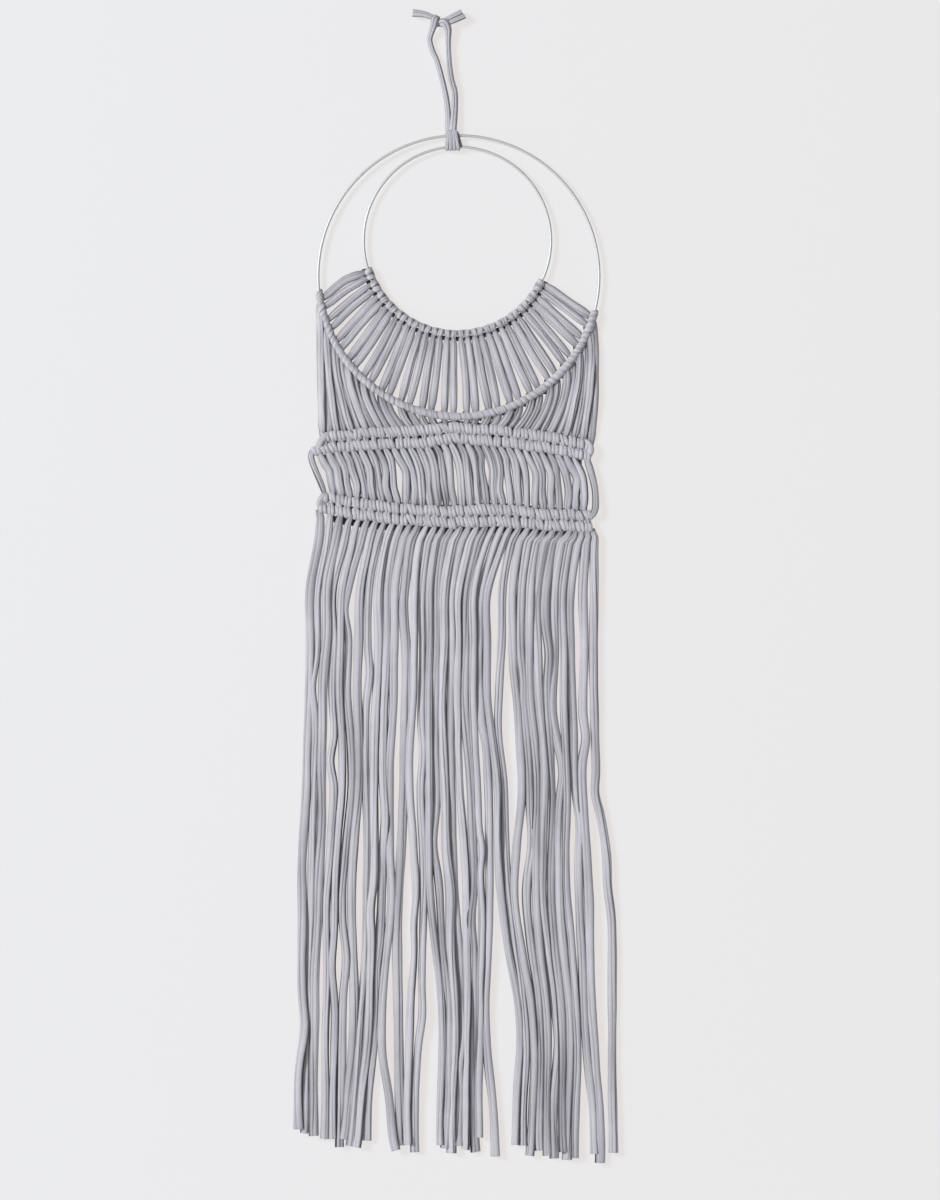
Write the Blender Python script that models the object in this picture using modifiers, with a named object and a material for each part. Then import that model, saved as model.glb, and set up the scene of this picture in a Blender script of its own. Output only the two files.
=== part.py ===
"""Macrame wall hanging: two nested wire rings, a crescent of knotted jersey cord between
them, two double rows of hitches below, and a long fringe, hung from a tied loop.

Metres, +Z up, the front faces -Y. The origin is the hang point, under the knot of the
hanging loop. Each pivot of the model is an empty that its pieces are parented to.
"""

import math

import bmesh
import bpy
from mathutils import Vector

MM = 0.001

CORD_COLOUR = (0.50, 0.50, 0.56)
CORD_ROUGHNESS = 0.9
WIRE_COLOUR = (0.72, 0.72, 0.70)
WIRE_ROUGHNESS = 0.28

# Rings, bent from round wire. The inner ring hangs just inside the outer one.
WIRE_RADIUS = 1.5 * MM
OUTER_RING_RADIUS = 150 * MM
INNER_RING_RADIUS = 100 * MM
OUTER_RING_CENTRE = Vector((19.4 * MM, 0, -264.8 * MM))
INNER_RING_CENTRE = Vector((17.9 * MM, 0, -226.9 * MM))
OUTER_RING_SEGMENTS = 72
INNER_RING_SEGMENTS = 60
WIRE_SIDES = 8

# Cord. A working cord is folded over the inner ring, so each gives two strands.
CORD_RADIUS = 3.0 * MM
STRANDS = 34
GAP = 0.4 * MM
WELD_DISTANCE = 0.01 * MM
WEB_THICKNESS = 5.5 * MM
BAND_HEIGHT = 3 * MM
COMB_BAND_HEIGHT = 2.4 * MM
FAN_BAND_HEIGHT = 9 * MM
SLOT_WIDTH = 2 * MM
SHORTEST_SLOT = 6 * MM
STRAND_HALF_WIDTH = CORD_RADIUS * 0.98

# Knots on the rings, as angles from straight down: negative is left.
INNER_KNOT_ANGLES = (-71, 63)
OUTER_HITCH_ANGLES = (-81, 73)
RING_SLEEVE_RADIUS = 4.8 * MM
RING_SLEEVE_BORE = 2.25 * MM
RING_SLEEVE_POINTS = 25
FAN_ARC_POINTS = 16
FAN_MIDDLE_ANGLE = 1.0

# The hitched rows: each is a sleeve of hitches on a holding cord. Route points are (x, z).
ROW_SLEEVE_RADIUS = 5.3 * MM
ROW_SLEEVE_BORE = 2.7 * MM
HOLDING_CORD_RADIUS = 2.3 * MM
HOLDING_CORD_SPARE = 2 * MM
ROW_SLANT = 1.03
ROW_CLEARANCE = ROW_SLEEVE_RADIUS * ROW_SLANT + GAP
ROWS_MM = {
    "row_1_upper": (
        (-123.8, -436.6), (-74.2, -432.4), (-30.4, -430.8), (2.7, -427.6), (15.5, -426.5),
        (53.9, -429.0), (97.7, -434.3), (129.7, -439.3), (159.6, -446.3),
    ),
    "row_1_lower": (
        (-134.0, -452.1), (-106.2, -446.8), (-62.5, -444.7), (-19.8, -443.1), (13.3, -438.3),
        (53.9, -440.9), (97.7, -446.3), (140.4, -453.2), (160.7, -458.0),
    ),
    "row_2_upper": (
        (-127.6, -500.7), (-84.9, -507.7), (-30.4, -514.2), (13.3, -516.3), (53.9, -514.2),
        (85.9, -516.3), (119.0, -519.6), (157.5, -519.6),
    ),
    "row_2_lower": (
        (-128.7, -512.4), (-95.5, -518.6), (-41.1, -525.3), (13.3, -528.2), (64.6, -526.4),
        (108.4, -531.3), (157.5, -532.8),
    ),
}

# The first and the last strand, above the rows and between them.
FAN_STRANDS_X = (-126 * MM, 160 * MM)
MID_STRANDS_X = (-126 * MM, 157 * MM)
ROOT_LEAN = 3.5 * MM

# Pivots: the loop on its nail, the rings under the loop, the lower band, the fringe.
HANG_POINT = Vector((0, 0, 0))
RING_PIVOT = Vector((12.0 * MM, 0, -106.3 * MM))
BAND_PIVOT = Vector((15.0 * MM, 0, -477.2 * MM))
FRINGE_PIVOT_Z = -546.6 * MM
BAND_HINGE_GAP = 0.9 * MM
DOME_GAP = 0.6 * MM

# Hanging loop and knot. Route points are (x, y, z) from the knot down.
KNOT_CENTRE = Vector((0, 0, 8.2 * MM))
KNOT_HALF_SIZES = (7.6 * MM, 5.5 * MM, 5.8 * MM)
LOOP_STRANDS_MM = {
    "loop_strand_left": (
        (-9.6, 0, -2.6), (-12.4, 0.3, -12), (-9.8, 0.4, -23), (-4.0, 0.3, -36),
        (3.0, 0.2, -60), (7.4, 0.1, -84), (8.2, 0, -106.3),
    ),
    "loop_strand_right": (
        (8.6, -0.3, -2.8), (9.4, -0.6, -16), (10.6, -0.8, -38), (14.0, -0.8, -55),
        (17.4, -0.6, -68.3), (17.9, -0.3, -84), (15.6, 0, -106.3),
    ),
}
TAILS_MM = {
    "hanging_tail_left": ((-8.6, 0, 11.2), (-17.6, -0.8, 14.6), (-29.6, -0.4, 16.0)),
    "hanging_tail_right": ((8.6, -0.5, 10.6), (17.6, -1.2, 13.3), (27.2, -0.8, 14.9)),
}
LOOP_POINTS = 14
TAIL_POINTS = 5
ROUND_END_LENGTH = CORD_RADIUS * 0.8
ROUND_END_SCALE = 0.6
LASHING_X = (5.0 * MM, 22.0 * MM)
LASHING_Z = (-131.2 * MM, -110.2 * MM)
LASHING_DEPTH = 10.5 * MM
LASHING_ROUNDING = 3 * MM
GROOVE_SIDES = 12

# Fringe. Cords gather into clumps: at each level, (left edge, right edge, cords in it).
LEVEL_STEP = 128.1 * MM
FRINGE_TOP_X = (-131 * MM, 163.5 * MM)
CLUMPS_MM = (
    (
        (-145.7, -94.5, 6), (-91.3, -74.2, 2), (-72.1, -44.3, 3), (-42.2, 55.0, 12),
        (59.3, 69.9, 1), (72.1, 143.6, 8), (147.0, 155.4, 1), (159.6, 168.2, 1),
    ),
    (
        (-146.8, -121.2, 3), (-116.9, -49.6, 8), (-44.3, -29.4, 2), (-26.2, 26.2, 6),
        (28.6, 43.2, 2), (47.2, 71.3, 3), (79.7, 157.5, 9), (162.8, 171.4, 1),
    ),
    (
        (-153.2, -91.3, 7), (-85.9, -37.9, 5), (-30.4, 20.9, 6), (23, 55, 4),
        (60.3, 83.9, 3), (87, 141.6, 6), (144.7, 164.9, 2), (177.8, 188.4, 1),
    ),
    (
        (-153.4, -131.4, 3), (-127.6, -98.8, 3), (-96.6, -57.1, 5), (-49.6, -40.0, 1),
        (-36.8, -18.7, 2), (-3.7, 53.9, 8), (77.4, 167.1, 11), (177.8, 187.4, 1),
    ),
    (
        (-157.5, -130.8, 3), (-128.6, -74.2, 7), (-57.1, -23.0, 4), (-9.1, 49.6, 7),
        (53.9, 65.7, 1), (72.1, 152.1, 9), (159.6, 175.6, 2), (178.8, 189.5, 1),
    ),
)
CORD_POINTS = 13
SHORTEST_CORD_Z = -1187 * MM
END_SLOPE = -20 * MM
DOME_LENGTH = CORD_RADIUS * 0.85
DOME_SCALE = 0.5

# Irregularity of the fringe: how far, how often down the drop, and how much it differs
# from one cord to the next. The last two are angles in radians.
END_RAGGED = 5 * MM
END_PER_CORD = 2.3
SWAY = 0.8 * MM
SWAY_PER_LEVEL = 1.9
SWAY_PER_CORD = 0.4
DEPTH_SWAY = 0.9 * MM
DEPTH_PER_LEVEL = 1.3
DEPTH_PER_CORD = 2.4
STILL_POINTS = 2
FRINGE_BUNDLES = {
    "fringe_left": (0, 10),
    "fringe_mid_left": (10, 14),
    "fringe_centre": (14, 22),
    "fringe_mid_right": (22, 31),
    "fringe_right": (31, 34),
}


def clear_scene():
    for obj in list(bpy.data.objects):
        bpy.data.objects.remove(obj, do_unlink=True)


def new_collection(name, hidden=False):
    collection = bpy.data.collections.new(name)
    bpy.context.scene.collection.children.link(collection)
    collection.hide_render = hidden
    return collection


def new_material(name, colour, roughness, metallic=0.0):
    material = bpy.data.materials.new(name)
    material.use_nodes = True
    shader = material.node_tree.nodes["Principled BSDF"]
    shader.inputs["Base Color"].default_value = (*colour, 1.0)
    shader.inputs["Roughness"].default_value = roughness
    shader.inputs["Metallic"].default_value = metallic
    material.diffuse_color = (*colour, 1.0)
    return material


def new_pivot(name, place, parent=None):
    """An empty on a joint's axis, with no rotation, so that children keep world directions."""
    pivot = bpy.data.objects.new(name, None)
    pivot["place"] = tuple(place)
    parts.objects.link(pivot)
    pivot.location = place
    if parent is not None:
        pivot.parent = parent
        pivot.location = place - Vector(parent["place"])
    return pivot


def add_piece(name, data, pivot=None, colour=CORD_COLOUR, roughness=CORD_ROUGHNESS, metallic=0.0):
    """Links a new object, gives it its material and hangs it on its pivot."""
    obj = bpy.data.objects.new(name, data)
    parts.objects.link(obj)
    data.materials.append(new_material(name, colour, roughness, metallic))
    if pivot is not None:
        obj.parent = pivot
        obj.location = -Vector(pivot["place"])
    return obj


def poly_curve(name, points, radius, radii=None, caps=True):
    """A tube along points, with eight sides. radii scale the radius at each point."""
    curve = bpy.data.curves.new(name, "CURVE")
    curve.dimensions = "3D"
    curve.twist_mode = "Z_UP"
    curve.bevel_depth = radius
    curve.bevel_resolution = 2
    curve.use_fill_caps = caps
    spline = curve.splines.new("POLY")
    spline.points.add(len(points) - 1)
    for index, (point, co) in enumerate(zip(spline.points, points)):
        point.co = (*co, 1.0)
        point.radius = 1.0 if radii is None else radii[index]
    return curve


def catmull_rom(values, place):
    """The value at place, counted in steps along values, on a smooth curve through them."""
    last = len(values) - 1
    step = min(max(int(place), 0), last - 1)
    t = place - step
    a = values[max(step - 1, 0)]
    b = values[step]
    c = values[step + 1]
    d = values[min(step + 2, last)]
    return 0.5 * (
        2 * b
        + (c - a) * t
        + (2 * a - 5 * b + 4 * c - d) * t * t
        + (3 * b - a - 3 * c + d) * t * t * t
    )


def smooth_route(points_mm, count):
    """count points on a smooth curve through a route's own points."""
    points = [Vector(p) * MM for p in points_mm]
    last = len(points) - 1
    return [catmull_rom(points, last * n / (count - 1)) for n in range(count)]


def add_sleeve(name, points, radius, bore, pivot):
    """A hollow tube of knotted cord round a wire or a holding cord."""
    curve = poly_curve(name + "_curve", points, radius, caps=False)
    source = bpy.data.objects.new(name + "_curve", curve)
    bpy.context.scene.collection.objects.link(source)
    bpy.context.view_layer.update()
    graph = bpy.context.evaluated_depsgraph_get()
    mesh = bpy.data.meshes.new_from_object(source.evaluated_get(graph))
    bpy.data.objects.remove(source)
    bpy.data.curves.remove(curve)
    shell = bmesh.new()
    shell.from_mesh(mesh)
    bmesh.ops.remove_doubles(shell, verts=shell.verts, dist=WELD_DISTANCE)
    bmesh.ops.recalc_face_normals(shell, faces=shell.faces)
    shell.to_mesh(mesh)
    shell.free()
    mesh.materials.clear()
    sleeve = add_piece(name, mesh, pivot)
    wall = sleeve.modifiers.new("wall", "SOLIDIFY")
    wall.thickness = radius - bore
    wall.offset = -1.0
    mesh.shade_smooth()


def add_web(name, outline, pivot):
    """A flat outline in the XZ plane, as thick as a cord: strands joined along one band."""
    sheet = bmesh.new()
    corners = [sheet.verts.new((x, 0, z)) for x, z in outline]
    sheet.faces.new(corners)
    mesh = bpy.data.meshes.new(name)
    sheet.to_mesh(mesh)
    sheet.free()
    web = add_piece(name, mesh, pivot)
    thick = web.modifiers.new("thickness", "SOLIDIFY")
    thick.thickness = WEB_THICKNESS
    thick.offset = 0.0


def row_z(name, x):
    """Height of a row's centre line at x, on straight runs between its route points."""
    points = [(px * MM, pz * MM) for px, pz in ROWS_MM[name]]
    for (x0, z0), (x1, z1) in zip(points, points[1:]):
        if x <= x1:
            return z0 + (z1 - z0) * (x - x0) / (x1 - x0)
    (x0, z0), (x1, z1) = points[-2:]
    return z0 + (z1 - z0) * (x - x0) / (x1 - x0)


def on_circle(centre, radius, degrees):
    """The (x, z) of a circle's point, at an angle from straight down, negative to the left."""
    angle = math.radians(degrees)
    return centre.x + radius * math.sin(angle), centre.z - radius * math.cos(angle)


def spread(ends, count):
    """count even steps from the first of two values to the second."""
    first, last = ends
    return [first + (last - first) * n / (count - 1) for n in range(count)]


def midway(values):
    return [(a + b) / 2 for a, b in zip(values, values[1:])]


def arc_points(centre, radius, angles, count):
    return [
        Vector((x, 0, z))
        for x, z in (on_circle(centre, radius, a) for a in spread(angles, count))
    ]


def add_ring(name, centre, radius, segments, pivot):
    bpy.ops.mesh.primitive_torus_add(
        major_segments=segments,
        minor_segments=WIRE_SIDES,
        major_radius=radius,
        minor_radius=WIRE_RADIUS,
        rotation=(math.pi / 2, 0, 0),
    )
    made = bpy.context.object
    mesh = made.data
    mesh.transform(made.matrix_world)
    bpy.data.objects.remove(made)
    mesh.shade_smooth()
    ring = add_piece(name, mesh, pivot, WIRE_COLOUR, WIRE_ROUGHNESS, metallic=1.0)
    ring.location += centre


def add_lashing(pivot):
    """The wraps that bind both rings: a rounded block with a groove right through for each."""
    bpy.ops.mesh.primitive_cube_add(size=1)
    block = bpy.context.object
    mesh = block.data
    bpy.data.objects.remove(block)
    low_x, high_x = LASHING_X
    low_z, high_z = LASHING_Z
    for vertex in mesh.vertices:
        vertex.co.x = high_x if vertex.co.x > 0 else low_x
        vertex.co.y *= LASHING_DEPTH
        vertex.co.z = high_z if vertex.co.z > 0 else low_z
    lashing = add_piece("ring_lashing", mesh, pivot)
    rounding = lashing.modifiers.new("rounding", "BEVEL")
    rounding.width = LASHING_ROUNDING
    rounding.segments = 3
    for name, centre, radius in (
        ("outer_wire_cutter", OUTER_RING_CENTRE, OUTER_RING_RADIUS),
        ("inner_wire_cutter", INNER_RING_CENTRE, INNER_RING_RADIUS),
    ):
        bpy.ops.mesh.primitive_torus_add(
            major_segments=OUTER_RING_SEGMENTS,
            minor_segments=GROOVE_SIDES,
            major_radius=radius,
            minor_radius=WIRE_RADIUS + GAP,
            location=centre,
            rotation=(math.pi / 2, 0, 0),
        )
        cutter = bpy.context.object
        cutter.name = name
        cutter.hide_render = True
        cutter.display_type = "WIRE"
        for collection in list(cutter.users_collection):
            collection.objects.unlink(cutter)
        cutters.objects.link(cutter)
        groove = lashing.modifiers.new(name, "BOOLEAN")
        groove.object = cutter
        groove.solver = "EXACT"


def add_knot():
    bpy.ops.mesh.primitive_uv_sphere_add(segments=16, ring_count=10, radius=1)
    ball = bpy.context.object
    mesh = ball.data
    bpy.data.objects.remove(ball)
    for vertex in mesh.vertices:
        for axis, half in enumerate(KNOT_HALF_SIZES):
            vertex.co[axis] *= half
    mesh.shade_smooth()
    knot = add_piece("hanging_knot", mesh)
    knot.location = KNOT_CENTRE


def add_hanging_cord(loop_pivot):
    add_knot()
    for name, route in TAILS_MM.items():
        add_piece(name, poly_curve(name, smooth_route(route, TAIL_POINTS), CORD_RADIUS))
    for name, route in LOOP_STRANDS_MM.items():
        points = smooth_route(route, LOOP_POINTS)
        top = points[0] + (points[0] - points[1]).normalized() * ROUND_END_LENGTH
        bottom = points[-1] - Vector((0, 0, ROUND_END_LENGTH))
        radii = [ROUND_END_SCALE] + [1.0] * len(points) + [ROUND_END_SCALE]
        curve = poly_curve(name, [top, *points, bottom], CORD_RADIUS, radii)
        add_piece(name, curve, loop_pivot)


def crescent_outline():
    """Strands from the inner ring's knots to the outer ring's hitches, joined at the knots."""
    inner_radius = INNER_RING_RADIUS + RING_SLEEVE_RADIUS + GAP
    outer_radius = OUTER_RING_RADIUS - RING_SLEEVE_RADIUS - GAP
    inner_angles = spread(INNER_KNOT_ANGLES, STRANDS)
    outer_angles = spread(OUTER_HITCH_ANGLES, STRANDS)
    outline = [on_circle(INNER_RING_CENTRE, inner_radius, a) for a in inner_angles[::-1]]
    outline.append(on_circle(OUTER_RING_CENTRE, outer_radius, outer_angles[0]))
    band = inner_radius + BAND_HEIGHT
    tip_half = math.degrees(SLOT_WIDTH / outer_radius)
    root_half = math.degrees(SLOT_WIDTH / 4 / band)
    for inner, outer in zip(midway(inner_angles), midway(outer_angles)):
        outline.append(on_circle(OUTER_RING_CENTRE, outer_radius, outer - tip_half))
        outline.append(on_circle(INNER_RING_CENTRE, band, inner - root_half))
        outline.append(on_circle(INNER_RING_CENTRE, band, inner + root_half))
        outline.append(on_circle(OUTER_RING_CENTRE, outer_radius, outer + tip_half))
    outline.append(on_circle(OUTER_RING_CENTRE, outer_radius, outer_angles[-1]))
    return outline


def under_outer_ring(x):
    """Height of the underside of the outer ring's hitches at x."""
    radius = OUTER_RING_RADIUS + RING_SLEEVE_RADIUS + GAP
    across = x - OUTER_RING_CENTRE.x
    return OUTER_RING_CENTRE.z - math.sqrt(max(radius**2 - across**2, 0))


def above_row_1(x):
    """The (x, z) just above the first row's hitches."""
    return x, row_z("row_1_upper", x) + ROW_CLEARANCE


def fan_outline(side):
    """Strands from the outer ring down to the first row, on one side: -1 left, 1 right."""
    centre = OUTER_RING_CENTRE.x
    radius = OUTER_RING_RADIUS + RING_SLEEVE_RADIUS + GAP
    end_angle = OUTER_HITCH_ANGLES[0] if side < 0 else OUTER_HITCH_ANGLES[1]
    angles = spread((end_angle, side * FAN_MIDDLE_ANGLE), FAN_ARC_POINTS)
    outline = [on_circle(OUTER_RING_CENTRE, radius, a) for a in angles]
    outline.append(above_row_1(outline[-1][0]))
    xs = [x for x in spread(FAN_STRANDS_X, STRANDS) if (x - centre) * side > 0]
    for x in midway(xs[::side]):
        near = x - side * SLOT_WIDTH / 2
        far = x + side * SLOT_WIDTH / 2
        top = under_outer_ring(x) - FAN_BAND_HEIGHT
        if top - row_z("row_1_upper", x) > SHORTEST_SLOT + ROW_CLEARANCE:
            outline += [above_row_1(near), (near, top), (far, top), above_row_1(far)]
        else:
            outline.append(above_row_1(x))
    outline.append(above_row_1(outline[0][0]))
    return outline


def comb_outline(row, above, xs, level, lean=0.0):
    """Strands between a row and a level, joined along the row. above: the row is on top."""
    toward = -1 if above else 1

    def beside_row(x, distance):
        return x, row_z(row, x) + toward * (ROW_CLEARANCE + distance)

    half = STRAND_HALF_WIDTH
    left = xs[0] + lean - CORD_RADIUS
    right = xs[-1] + lean + CORD_RADIUS
    corners = [px * MM for px, _ in ROWS_MM[row] if left < px * MM < right]
    outline = [beside_row(x, 0.0) for x in (left, *corners, right)]
    for x in reversed(xs):
        outline.append(beside_row(x + lean + half, COMB_BAND_HEIGHT))
        outline.append((x + half, level))
        outline.append((x - half, level))
        outline.append(beside_row(x + lean - half, COMB_BAND_HEIGHT))
    return outline


def fringe_positions():
    """For each level, the x of every fringe cord: even at the top, then in clumps."""
    levels = [spread(FRINGE_TOP_X, STRANDS)]
    for clumps in CLUMPS_MM:
        xs = []
        for left, right, count in clumps:
            pitch = (right - left) * MM / count
            xs += [left * MM + pitch * (n + 0.5) for n in range(count)]
        levels.append(xs)
    return levels


def fringe_route(index, levels):
    """Points down one fringe cord, from its pivot to its cut end."""
    across = [level[index] for level in levels]
    end = SHORTEST_CORD_Z + END_SLOPE * index / (STRANDS - 1)
    end += END_RAGGED * math.sin(END_PER_CORD * index)
    points = []
    for n in range(CORD_POINTS):
        z = FRINGE_PIVOT_Z + (end - FRINGE_PIVOT_Z) * n / (CORD_POINTS - 1)
        drop = (FRINGE_PIVOT_Z - z) / LEVEL_STEP
        fade = min(n / STILL_POINTS, 1)
        x = catmull_rom(across, drop)
        x += fade * SWAY * math.sin(SWAY_PER_LEVEL * drop + SWAY_PER_CORD * index)
        y = fade * DEPTH_SWAY * math.sin(DEPTH_PER_LEVEL * drop + DEPTH_PER_CORD * index)
        points.append(Vector((x, y, z)))
    return points


def add_fringe(band_pivot):
    levels = fringe_positions()
    for bundle, (first, end) in FRINGE_BUNDLES.items():
        middle = (levels[0][first] + levels[0][end - 1]) / 2
        pivot = new_pivot(bundle + "_pivot", Vector((middle, 0, FRINGE_PIVOT_Z)), band_pivot)
        for index in range(first, end):
            name = f"fringe_cord_{index + 1:02d}"
            points = fringe_route(index, levels)
            tip = points[0] + Vector((0, 0, DOME_LENGTH))
            radii = [DOME_SCALE] + [1.0] * len(points)
            add_piece(name, poly_curve(name, [tip, *points], CORD_RADIUS, radii), pivot)


def add_row(name, pivot):
    """One row: a sleeve of hitches, with its holding cord inside."""
    points = [Vector((x * MM, 0, z * MM)) for x, z in ROWS_MM[name]]
    add_sleeve(name + "_hitches", points, ROW_SLEEVE_RADIUS, ROW_SLEEVE_BORE, pivot)
    first = points[0] + (points[0] - points[1]).normalized() * HOLDING_CORD_SPARE
    last = points[-1] + (points[-1] - points[-2]).normalized() * HOLDING_CORD_SPARE
    route = [first, *points, last]
    cord = name + "_holding_cord"
    add_piece(cord, poly_curve(cord, route, HOLDING_CORD_RADIUS), pivot)


def add_rings_and_crescent(pivot):
    add_ring("outer_ring", OUTER_RING_CENTRE, OUTER_RING_RADIUS, OUTER_RING_SEGMENTS, pivot)
    add_ring("inner_ring", INNER_RING_CENTRE, INNER_RING_RADIUS, INNER_RING_SEGMENTS, pivot)
    add_lashing(pivot)
    sleeves = (
        ("inner_ring_knots", INNER_RING_CENTRE, INNER_RING_RADIUS, INNER_KNOT_ANGLES),
        ("outer_ring_hitches", OUTER_RING_CENTRE, OUTER_RING_RADIUS, OUTER_HITCH_ANGLES),
    )
    for name, centre, radius, angles in sleeves:
        points = arc_points(centre, radius, angles, RING_SLEEVE_POINTS)
        add_sleeve(name, points, RING_SLEEVE_RADIUS, RING_SLEEVE_BORE, pivot)
    add_web("crescent_cords", crescent_outline(), pivot)
    add_web("fan_cords_left", fan_outline(-1), pivot)
    add_web("fan_cords_right", fan_outline(1), pivot)


def add_bands(ring_pivot, band_pivot):
    add_row("row_1_upper", ring_pivot)
    add_row("row_1_lower", ring_pivot)
    add_row("row_2_upper", band_pivot)
    add_row("row_2_lower", band_pivot)
    mid_xs = spread(MID_STRANDS_X, STRANDS)
    upper = comb_outline("row_1_lower", True, mid_xs, BAND_PIVOT.z + BAND_HINGE_GAP)
    lower = comb_outline("row_2_upper", False, mid_xs, BAND_PIVOT.z - BAND_HINGE_GAP)
    root_level = FRINGE_PIVOT_Z + CORD_RADIUS + DOME_GAP
    fringe_xs = spread(FRINGE_TOP_X, STRANDS)
    roots = comb_outline("row_2_lower", True, fringe_xs, root_level, lean=ROOT_LEAN)
    add_web("mid_cords_upper", upper, ring_pivot)
    add_web("mid_cords_lower", lower, band_pivot)
    add_web("fringe_roots", roots, band_pivot)


clear_scene()
parts = new_collection("macrame_wall_hanging")
cutters = new_collection("cutters", hidden=True)
loop_pivot = new_pivot("loop_sway_pivot", HANG_POINT)
ring_pivot = new_pivot("ring_tilt_pivot", RING_PIVOT, loop_pivot)
band_pivot = new_pivot("band_fold_pivot", BAND_PIVOT, ring_pivot)
add_hanging_cord(loop_pivot)
add_rings_and_crescent(ring_pivot)
add_bands(ring_pivot, band_pivot)
add_fringe(band_pivot)
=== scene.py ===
"""Looks of a macrame wall hanging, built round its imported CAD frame.

Metres, +Z up, the front faces -Y. An angle on a ring is measured from straight down, negative
to the left. Every length of cord is a mesh tube with the flattened, creased section of rolled
jersey, and the wraps of each knot are real turns of it.
"""

import math

import bpy
import numpy as np
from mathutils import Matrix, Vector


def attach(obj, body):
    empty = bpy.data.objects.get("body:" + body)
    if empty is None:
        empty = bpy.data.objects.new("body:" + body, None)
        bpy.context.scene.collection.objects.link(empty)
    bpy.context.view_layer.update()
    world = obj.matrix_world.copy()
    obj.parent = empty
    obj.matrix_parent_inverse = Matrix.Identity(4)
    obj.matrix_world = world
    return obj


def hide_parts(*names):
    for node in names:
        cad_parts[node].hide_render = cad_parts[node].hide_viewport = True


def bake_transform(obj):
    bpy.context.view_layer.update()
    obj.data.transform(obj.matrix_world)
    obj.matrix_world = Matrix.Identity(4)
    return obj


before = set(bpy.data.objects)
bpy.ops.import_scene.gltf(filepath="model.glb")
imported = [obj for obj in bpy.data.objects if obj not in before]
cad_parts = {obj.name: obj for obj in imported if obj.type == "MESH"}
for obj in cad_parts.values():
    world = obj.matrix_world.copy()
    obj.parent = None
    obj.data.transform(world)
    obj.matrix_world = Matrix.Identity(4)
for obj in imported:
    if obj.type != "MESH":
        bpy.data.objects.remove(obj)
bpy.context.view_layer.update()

MM = 0.001
FRONT = np.array((0.0, -1.0, 0.0))

# The frame's own sizes, as part.py has them.
OUTER_RADIUS = 150 * MM
INNER_RADIUS = 100 * MM
WIRE_RADIUS = 1.5 * MM
OUTER_CENTRE = np.array((19.4, 0, -264.8)) * MM
INNER_CENTRE = np.array((17.9, 0, -226.9)) * MM
STRANDS = 34
INNER_KNOT_ANGLES = (-71, 63)
OUTER_HITCH_ANGLES = (-81, 73)
# How many degrees nearer to each other than even the two strands of a pair are.
INNER_PAIRING = 0.12
OUTER_PAIRING = 0.45
HOLDING_CORD_RADIUS = 2.3 * MM
ROWS_MM = {
    "row_1_upper": (
        (-123.8, -436.6), (-74.2, -432.4), (-30.4, -430.8), (2.7, -427.6), (15.5, -426.5),
        (53.9, -429.0), (97.7, -434.3), (129.7, -439.3), (159.6, -446.3),
    ),
    "row_1_lower": (
        (-134.0, -452.1), (-106.2, -446.8), (-62.5, -444.7), (-19.8, -443.1), (13.3, -438.3),
        (53.9, -440.9), (97.7, -446.3), (140.4, -453.2), (160.7, -458.0),
    ),
    "row_2_upper": (
        (-127.6, -500.7), (-84.9, -507.7), (-30.4, -514.2), (13.3, -516.3), (53.9, -514.2),
        (85.9, -516.3), (119.0, -519.6), (157.5, -519.6),
    ),
    "row_2_lower": (
        (-128.7, -512.4), (-95.5, -518.6), (-41.1, -525.3), (13.3, -528.2), (64.6, -526.4),
        (108.4, -531.3), (157.5, -532.8),
    ),
}
FAN_FEET_X = (-126 * MM, 160 * MM)
FAN_POINTS = 12
HITCH_ENDS_MM = {
    "row_1_upper": (-122.5, 157.5),
    "row_1_lower": (-132.0, 157.0),
    "row_2_upper": (-124.0, 156.5),
    "row_2_lower": (-125.0, 157.5),
}
# A hitch is two turns of its strand, in degrees from straight up over the front. Cord lies
# in the hollows behind it, painted in deep shade: how far up from the row, and how wide.
ROW_HITCH_TURNS = (-110, 610)
RING_HITCH_TURNS = (-120, 600)
RING_KNOT_TURNS = (-150, 250)
ROW_HOLLOWS_MM = ((-9.0, 9.0), (5.0, 5.4))
# Strands show between the two rows of a pair from here on.
FIRST_LINK_X = -126 * MM
# The cord that turns round each end of a double row, from its upper row to its lower one.
END_TURNS_MM = {
    "row_1_lower": (
        (
            (-115.5, 1.5, -433.0), (-121.5, -2.8, -435.2), (-126.8, -3.4, -440.0),
            (-129.8, -3.0, -445.8), (-132.6, 0.5, -451.0),
        ),
        (
            (152.0, 1.5, -441.5), (157.8, -2.6, -443.8), (160.4, -3.0, -450.0),
            (158.2, -1.8, -456.0), (154.0, 1.5, -458.5),
        ),
    ),
    "row_2_lower": (
        (
            (-118.5, 1.5, -498.8), (-124.5, -2.6, -500.4), (-128.4, -3.0, -505.2),
            (-128.6, -2.0, -510.5), (-125.0, 1.5, -514.5),
        ),
    ),
}
# The first and the last strand between the double rows bow out: width, then route.
OUTER_MID_MM = {
    0: (6.8, (
        (-127.5, 2.2, -449.0), (-133.5, -1.0, -449.5), (-137.6, -1.4, -454.5),
        (-137.2, -1.0, -462.0), (-132.6, -0.5, -474.5), (-127.4, 0, -487.0), (-122.5, 2.0, -500.5),
    )),
    33: (7.6, (
        (152.5, 1.5, -454.5), (156.0, -0.8, -460.5), (159.0, -0.6, -468.5), (162.2, -0.4, -480.0),
        (164.6, -0.5, -491.0), (165.6, -1.4, -503.5), (165.0, -2.8, -514.0),
        (161.0, -3.2, -521.0), (155.5, 0.5, -522.5),
    )),
}
# Where strands between the double rows stand apart: after which strand, by how much, and how
# many strands away it can still be seen.
MID_GAPS_MM = {3: 0.8, 9: 2.6, 16: 1.0, 20: 1.2, 23: 2.2, 25: 1.8, 29: 1.6}
MID_GAP_REACH = 1.8
MID_TOPS_X = (-131 * MM, 158 * MM)
MID_FEET_X = (-123 * MM, 162 * MM)
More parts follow.
